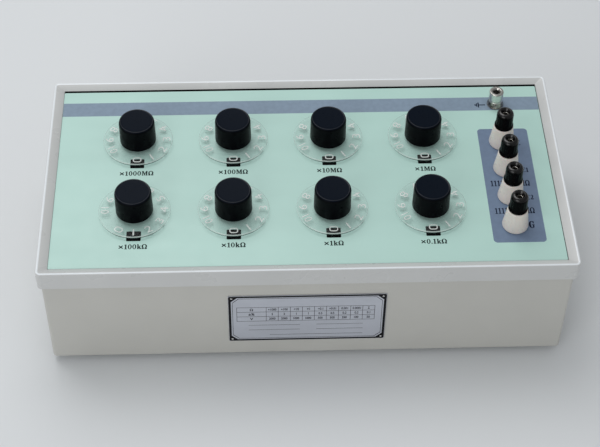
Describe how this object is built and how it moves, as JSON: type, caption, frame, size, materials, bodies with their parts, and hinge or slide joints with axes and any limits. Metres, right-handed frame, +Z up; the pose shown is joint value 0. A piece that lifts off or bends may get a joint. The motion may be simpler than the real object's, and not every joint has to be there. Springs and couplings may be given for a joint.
{
  "type": "decade resistance box",
  "caption": "Bench resistance box: grey case, sloping-lip frame, mint panel, rotary decade knobs on clear dials, insulated binding posts and an earth terminal.",
  "frame": {"origin": "centre of the box's footprint on the bench, at the bottom of the feet", "axes": "+Z up; +X to the right along the box's length, as seen from the front; -Y towards the user, where the rating plate is"},
  "size_m": [0.45, 0.228, 0.155],
  "materials": {
    "case_paint": "satin warm light grey enamel",
    "frame_paint": "satin light grey enamel",
    "board_black": "black insulating laminate",
    "face_mint": "silk-screened mint green",
    "plate_aluminium": "satin anodised, black border",
    "foot_rubber": "matt black",
    "knob_bakelite": "polished black phenolic",
    "dial_acrylic": "clear acrylic with white numerals",
    "shaft_steel": "turned",
    "switch_laminate": "phenolic paper laminate",
    "terminal_cream": "cream moulded insulator",
    "terminal_black": "black moulded cap",
    "nickel": "bright nickel plate",
    "bush_brass": "machined"
  },
  "bodies": {
    "box": {"case": "case_paint", "top_frame": "frame_paint", "panel_board": "board_black", "panel_face": "face_mint", "rating_plate": "plate_aluminium", "foot_front_left": "foot_rubber", "foot_back_left": "foot_rubber", "foot_front_right": "foot_rubber", "foot_back_right": "foot_rubber", "earth_stud": "nickel", "terminal_base_1": "terminal_cream", "terminal_base_2": "terminal_cream", "terminal_base_3": "terminal_cream", "terminal_base_4": "terminal_cream", "terminal_stud_1": "nickel", "terminal_stud_2": "nickel", "terminal_stud_3": "nickel", "terminal_stud_4": "nickel", "switch_1000M": "switch_laminate", "switch_100M": "switch_laminate", "switch_10M": "switch_laminate", "switch_1M": "switch_laminate", "switch_100k": "switch_laminate", "switch_10k": "switch_laminate", "switch_1k": "switch_laminate", "switch_0k1": "switch_laminate"},
    "selector_1000M": {"knob_1000M": "knob_bakelite", "dial_1000M": "dial_acrylic", "rotor_1000M": "shaft_steel"},
    "selector_100M": {"knob_100M": "knob_bakelite", "dial_100M": "dial_acrylic", "rotor_100M": "shaft_steel"},
    "selector_10M": {"knob_10M": "knob_bakelite", "dial_10M": "dial_acrylic", "rotor_10M": "shaft_steel"},
    "selector_1M": {"knob_1M": "knob_bakelite", "dial_1M": "dial_acrylic", "rotor_1M": "shaft_steel"},
    "selector_100k": {"knob_100k": "knob_bakelite", "dial_100k": "dial_acrylic", "rotor_100k": "shaft_steel"},
    "selector_10k": {"knob_10k": "knob_bakelite", "dial_10k": "dial_acrylic", "rotor_10k": "shaft_steel"},
    "selector_1k": {"knob_1k": "knob_bakelite", "dial_1k": "dial_acrylic", "rotor_1k": "shaft_steel"},
    "selector_0k1": {"knob_0k1": "knob_bakelite", "dial_0k1": "dial_acrylic", "rotor_0k1": "shaft_steel"},
    "terminal_bush_1": {"terminal_bush_1": "bush_brass"},
    "terminal_cap_1": {"terminal_cap_1": "terminal_black"},
    "terminal_bush_2": {"terminal_bush_2": "bush_brass"},
    "terminal_cap_2": {"terminal_cap_2": "terminal_black"},
    "terminal_bush_3": {"terminal_bush_3": "bush_brass"},
    "terminal_cap_3": {"terminal_cap_3": "terminal_black"},
    "terminal_bush_4": {"terminal_bush_4": "bush_brass"},
    "terminal_cap_4": {"terminal_cap_4": "terminal_black"},
    "earth_washer": {"earth_washer": "nickel"},
    "earth_thumb_nut": {"earth_thumb_nut": "nickel"}
  },
  "joints": [
    {"name": "turn_1000M", "type": "hinge", "parent": "box", "child": "selector_1000M", "pos_m": [-0.146, 0.0403, 0.12], "axis": [0, 0, -1], "range_deg": [0, 300]},
    {"name": "turn_100M", "type": "hinge", "parent": "box", "child": "selector_100M", "pos_m": [-0.062, 0.0403, 0.12], "axis": [0, 0, -1], "range_deg": [0, 300]},
    {"name": "turn_10M", "type": "hinge", "parent": "box", "child": "selector_10M", "pos_m": [0.022, 0.0403, 0.12], "axis": [0, 0, -1], "range_deg": [0, 300]},
    {"name": "turn_1M", "type": "hinge", "parent": "box", "child": "selector_1M", "pos_m": [0.106, 0.0403, 0.12], "axis": [0, 0, -1], "range_deg": [0, 300]},
    {"name": "turn_100k", "type": "hinge", "parent": "box", "child": "selector_100k", "pos_m": [-0.146, -0.0437, 0.12], "axis": [0, 0, -1], "range_deg": [-30, 270]},
    {"name": "turn_10k", "type": "hinge", "parent": "box", "child": "selector_10k", "pos_m": [-0.062, -0.0437, 0.12], "axis": [0, 0, -1], "range_deg": [0, 300]},
    {"name": "turn_1k", "type": "hinge", "parent": "box", "child": "selector_1k", "pos_m": [0.022, -0.0437, 0.12], "axis": [0, 0, -1], "range_deg": [0, 300]},
    {"name": "turn_0k1", "type": "hinge", "parent": "box", "child": "selector_0k1", "pos_m": [0.106, -0.0437, 0.12], "axis": [0, 0, -1], "range_deg": [0, 300]},
    {"name": "lift_terminal_1", "type": "slide", "parent": "box", "child": "terminal_bush_1", "axis": [0, 0, 1], "range_m": [0, 0.004]},
    {"name": "unscrew_terminal_1", "type": "hinge", "parent": "terminal_bush_1", "child": "terminal_cap_1", "pos_m": [0.176, 0.03325, 0.14], "axis": [0, 0, 1], "range_deg": [0, 1440]},
    {"name": "lift_terminal_2", "type": "slide", "parent": "box", "child": "terminal_bush_2", "axis": [0, 0, 1], "range_m": [0, 0.004]},
    {"name": "unscrew_terminal_2", "type": "hinge", "parent": "terminal_bush_2", "child": "terminal_cap_2", "pos_m": [0.176, 0.0005, 0.14], "axis": [0, 0, 1], "range_deg": [0, 1440]},
    {"name": "lift_terminal_3", "type": "slide", "parent": "box", "child": "terminal_bush_3", "axis": [0, 0, 1], "range_m": [0, 0.004]},
    {"name": "unscrew_terminal_3", "type": "hinge", "parent": "terminal_bush_3", "child": "terminal_cap_3", "pos_m": [0.176, -0.03225, 0.14], "axis": [0, 0, 1], "range_deg": [0, 1440]},
    {"name": "lift_terminal_4", "type": "slide", "parent": "box", "child": "terminal_bush_4", "axis": [0, 0, 1], "range_m": [0, 0.004]},
    {"name": "unscrew_terminal_4", "type": "hinge", "parent": "terminal_bush_4", "child": "terminal_cap_4", "pos_m": [0.176, -0.065, 0.14], "axis": [0, 0, 1], "range_deg": [0, 1440]},
    {"name": "lift_earth", "type": "slide", "parent": "box", "child": "earth_washer", "axis": [0, 0, 1], "range_m": [0, 0.0032]},
    {"name": "unscrew_earth", "type": "hinge", "parent": "earth_washer", "child": "earth_thumb_nut", "pos_m": [0.176, 0.0815, 0.14], "axis": [0, 0, 1], "range_deg": [0, 1440]}
  ],
  "couplings": [
    {"joint": "unscrew_terminal_1", "follows": "lift_terminal_1", "rad_per_m": 6283.2},
    {"joint": "unscrew_terminal_2", "follows": "lift_terminal_2", "rad_per_m": 6283.2},
    {"joint": "unscrew_terminal_3", "follows": "lift_terminal_3", "rad_per_m": 6283.2},
    {"joint": "unscrew_terminal_4", "follows": "lift_terminal_4", "rad_per_m": 6283.2},
    {"joint": "unscrew_earth", "follows": "lift_earth", "rad_per_m": 7854}
  ]
}
